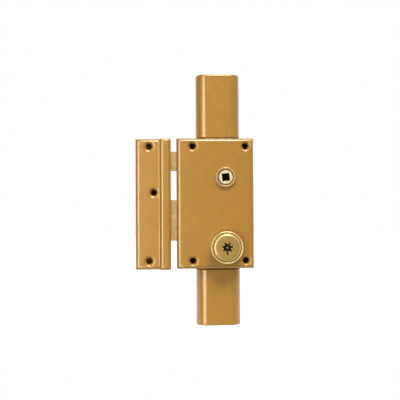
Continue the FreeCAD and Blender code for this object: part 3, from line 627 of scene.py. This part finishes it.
def painted_shade_sheet(name, colour, outlines):
    """Flat dark sheets behind holes and gaps that glow faintly in a dark colour, seen from the front alone: painted
    shade where light hardly reaches.
    """
    points, faces = [], []
    for outline in outlines:
        faces.append(tuple(range(len(points), len(points) + len(outline))))
        points += [(x, shade_sheet_depth, z) for x, z in outline]
    mesh = bpy.data.meshes.new(name)
    mesh.from_pydata(points, [], faces)
    piece = bpy.data.objects.new(name, mesh)
    bpy.context.scene.collection.objects.link(piece)
    material = bpy.data.materials.new(name)
    material.use_nodes = True
    tree = material.node_tree
    tree.nodes.clear()
    dark = add(tree, "ShaderNodeEmission")
    dark.inputs["Color"].default_value = linear(colour)
    clear = add(tree, "ShaderNodeBsdfTransparent")
    mix = add(tree, "ShaderNodeMixShader")
    join(tree, add(tree, "ShaderNodeNewGeometry").outputs["Backfacing"], mix.inputs["Fac"])
    join(tree, dark.outputs[0], mix.inputs[1])
    join(tree, clear.outputs[0], mix.inputs[2])
    output = add(tree, "ShaderNodeOutputMaterial")
    join(tree, mix.outputs[0], output.inputs["Surface"])
    mesh.materials.append(material)
    piece.visible_shadow = False
    piece.visible_diffuse = False


def disc(x, z, radius, steps=24):
    """The (x, z) outline of a disc."""
    return [(x + radius * math.cos(2 * math.pi * k / steps), z + radius * math.sin(2 * math.pi * k / steps))
            for k in range(steps)]


def shade_behind_sleeves(names):
    """The outlines of the painted shade behind some screw sleeves."""
    boxes = [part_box(name) for name in names]
    return [disc((low[0] + high[0]) / 2, (low[2] + high[2]) / 2, (high[0] - low[0]) / 2) for low, high in boxes]


def door_behind_gaps():
    """The outlines of the painted shade behind the gaps between the case and the two rod covers."""
    strips = []
    for node, side in (("upper_cover", 1), ("lower_cover", -1)):
        low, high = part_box(node)
        near = low[2] if side > 0 else high[2]
        left, right = low[0] + gap_side, high[0] - gap_side
        bottom, top = sorted((near - side * gap_overlap, near + side * gap_depth))
        strips.append([(left, bottom), (right, bottom), (right, top), (left, top)])
    return strips


frame_holes = ["strike_sleeve_top", "strike_sleeve_bottom"]
door_holes = [name for name in nodes if "_sleeve_" in name and name not in frame_holes]
# Painted shade behind the through holes, the spindle opening and the gaps
painted_shade_sheet("door_behind_holes", hole_shade_black,
           shade_behind_sleeves(door_holes) + [disc(spindle_axis.x, spindle_axis.z, spindle_opening)])
painted_shade_sheet("frame_behind_holes", frame_hole_shade_brown, shade_behind_sleeves(frame_holes))
painted_shade_sheet("door_behind_gaps", gap_shade_brown, door_behind_gaps())


# Camera, light and surroundings

camera_aim = Vector((-0.01656, -0.030, 0.00356))
camera_distance = 0.560
camera_yaw = math.radians(2.745)
camera_tilt = math.radians(1.351)
camera_roll = math.radians(-0.326)
view_width = 0.42706
sensor = 36.0


def make_camera():
    """The camera of the photograph: nearly square on, from a little left and below."""
    ahead = Vector((math.sin(camera_yaw) * math.cos(camera_tilt),
                    math.cos(camera_yaw) * math.cos(camera_tilt), math.sin(camera_tilt)))
    right = ahead.cross(Vector((0, 0, 1))).normalized()
    above = right.cross(ahead)
    across = right * math.cos(camera_roll) + above * math.sin(camera_roll)
    upward = above * math.cos(camera_roll) - right * math.sin(camera_roll)
    data = bpy.data.cameras.new("camera")
    data.sensor_width = sensor
    data.lens = sensor * camera_distance / view_width
    data.clip_start = 0.01
    camera = bpy.data.objects.new("camera", data)
    turn = Matrix((across, upward, -ahead)).transposed().to_4x4()
    camera.matrix_world = Matrix.Translation(camera_aim - ahead * camera_distance) @ turn
    bpy.context.scene.collection.objects.link(camera)
    bpy.context.scene.camera = camera


make_camera()


lamps = (
    {"name": "overhead", "place": (0.60, -3.50, 4.55), "width": 2.6, "height": 1.8, "power": 286.0},
    {"name": "left window", "place": (-1.40, -3.00, -0.05), "width": 1.85, "height": 2.3, "power": 50.0,
     "tint": (0.97, 1.0, 0.88)},
)


def area_light(name, place, width, height, power, tint=(1.0, 1.0, 1.0)):
    """A soft rectangular lamp that points at the lock."""
    data = bpy.data.lights.new(name, "AREA")
    data.shape = "RECTANGLE"
    data.size = width
    data.size_y = height
    data.energy = power
    data.color = tint
    lamp = bpy.data.objects.new(name, data)
    lamp.location = place
    lamp.rotation_euler = (-Vector(place)).to_track_quat("-Z", "Y").to_euler()
    bpy.context.scene.collection.objects.link(lamp)


for lamp in lamps:
    area_light(**lamp)


def make_world():
    """White to the camera. Light and reflections find it white behind the lock and dim in front of it."""
    world = bpy.data.worlds.new("studio")
    world.use_nodes = True
    tree = world.node_tree
    tree.nodes.clear()
    path = add(tree, "ShaderNodeLightPath")
    white = add(tree, "ShaderNodeBackground")
    white.inputs["Color"].default_value = (1, 1, 1, 1)
    white.inputs["Strength"].default_value = 1.0
    place = add(tree, "ShaderNodeTexCoord").outputs["Generated"]
    parts = add(tree, "ShaderNodeSeparateXYZ")
    join(tree, place, parts.inputs[0])
    level = ramp(tree, parts.outputs["X"], 0.3, 0.95, 0.05, 0.26)
    level = maths(tree, "ADD", level, ramp(tree, parts.outputs["Y"], 0.1, 0.9, 0.0, 0.9))
    level = maths(tree, "ADD", level, ramp(tree, parts.outputs["Z"], -0.6, 0.7, 0.12, 0.06))
    room = add(tree, "ShaderNodeBackground")
    room.inputs["Color"].default_value = (1, 1, 1, 1)
    join(tree, level, room.inputs["Strength"])
    mirrored = maths(tree, "MULTIPLY", path.outputs["Is Glossy Ray"], ramp(tree, parts.outputs["Y"], 0.7, 0.9))
    seen = maths(tree, "MAXIMUM", path.outputs["Is Camera Ray"], path.outputs["Is Transmission Ray"])
    mix = add(tree, "ShaderNodeMixShader")
    join(tree, maths(tree, "MAXIMUM", seen, mirrored), mix.inputs["Fac"])
    join(tree, room.outputs[0], mix.inputs[1])
    join(tree, white.outputs[0], mix.inputs[2])
    output = add(tree, "ShaderNodeOutputWorld")
    join(tree, mix.outputs[0], output.inputs["Surface"])
    bpy.context.scene.world = world


def make_floor():
    """A floor below the lock, white to the camera and in reflections, that still takes the lock's shadow."""
    half = 3.0
    near = -0.06
    drop = 0.03
    level = cad_box[0][2] - drop
    mesh = bpy.data.meshes.new("floor")
    corners = [(-half, near, level), (half, near, level), (half, half, level), (-half, half, level)]
    mesh.from_pydata(corners, [], [(0, 1, 2, 3)])
    floor = bpy.data.objects.new("floor", mesh)
    bpy.context.scene.collection.objects.link(floor)
    material = bpy.data.materials.new("floor_white")
    material.use_nodes = True
    tree = material.node_tree
    tree.nodes.clear()
    paint = add(tree, "ShaderNodeBsdfDiffuse")
    paint.inputs["Color"].default_value = (0.5, 0.5, 0.5, 1)
    glow = add(tree, "ShaderNodeEmission")
    path = add(tree, "ShaderNodeLightPath")
    seen = maths(tree, "MAXIMUM", path.outputs["Is Camera Ray"], path.outputs["Is Transmission Ray"])
    mirrored = maths(tree, "MULTIPLY", path.outputs["Is Glossy Ray"], 0.4)
    join(tree, maths(tree, "MAXIMUM", maths(tree, "MULTIPLY", seen, 0.9), mirrored), glow.inputs["Strength"])
    total = add(tree, "ShaderNodeAddShader")
    join(tree, paint.outputs[0], total.inputs[0])
    join(tree, glow.outputs[0], total.inputs[1])
    output = add(tree, "ShaderNodeOutputMaterial")
    join(tree, total.outputs[0], output.inputs["Surface"])
    mesh.materials.append(material)


make_world()
make_floor()
bpy.context.scene.view_settings.view_transform = "Standard"

bpy.context.view_layer.update()
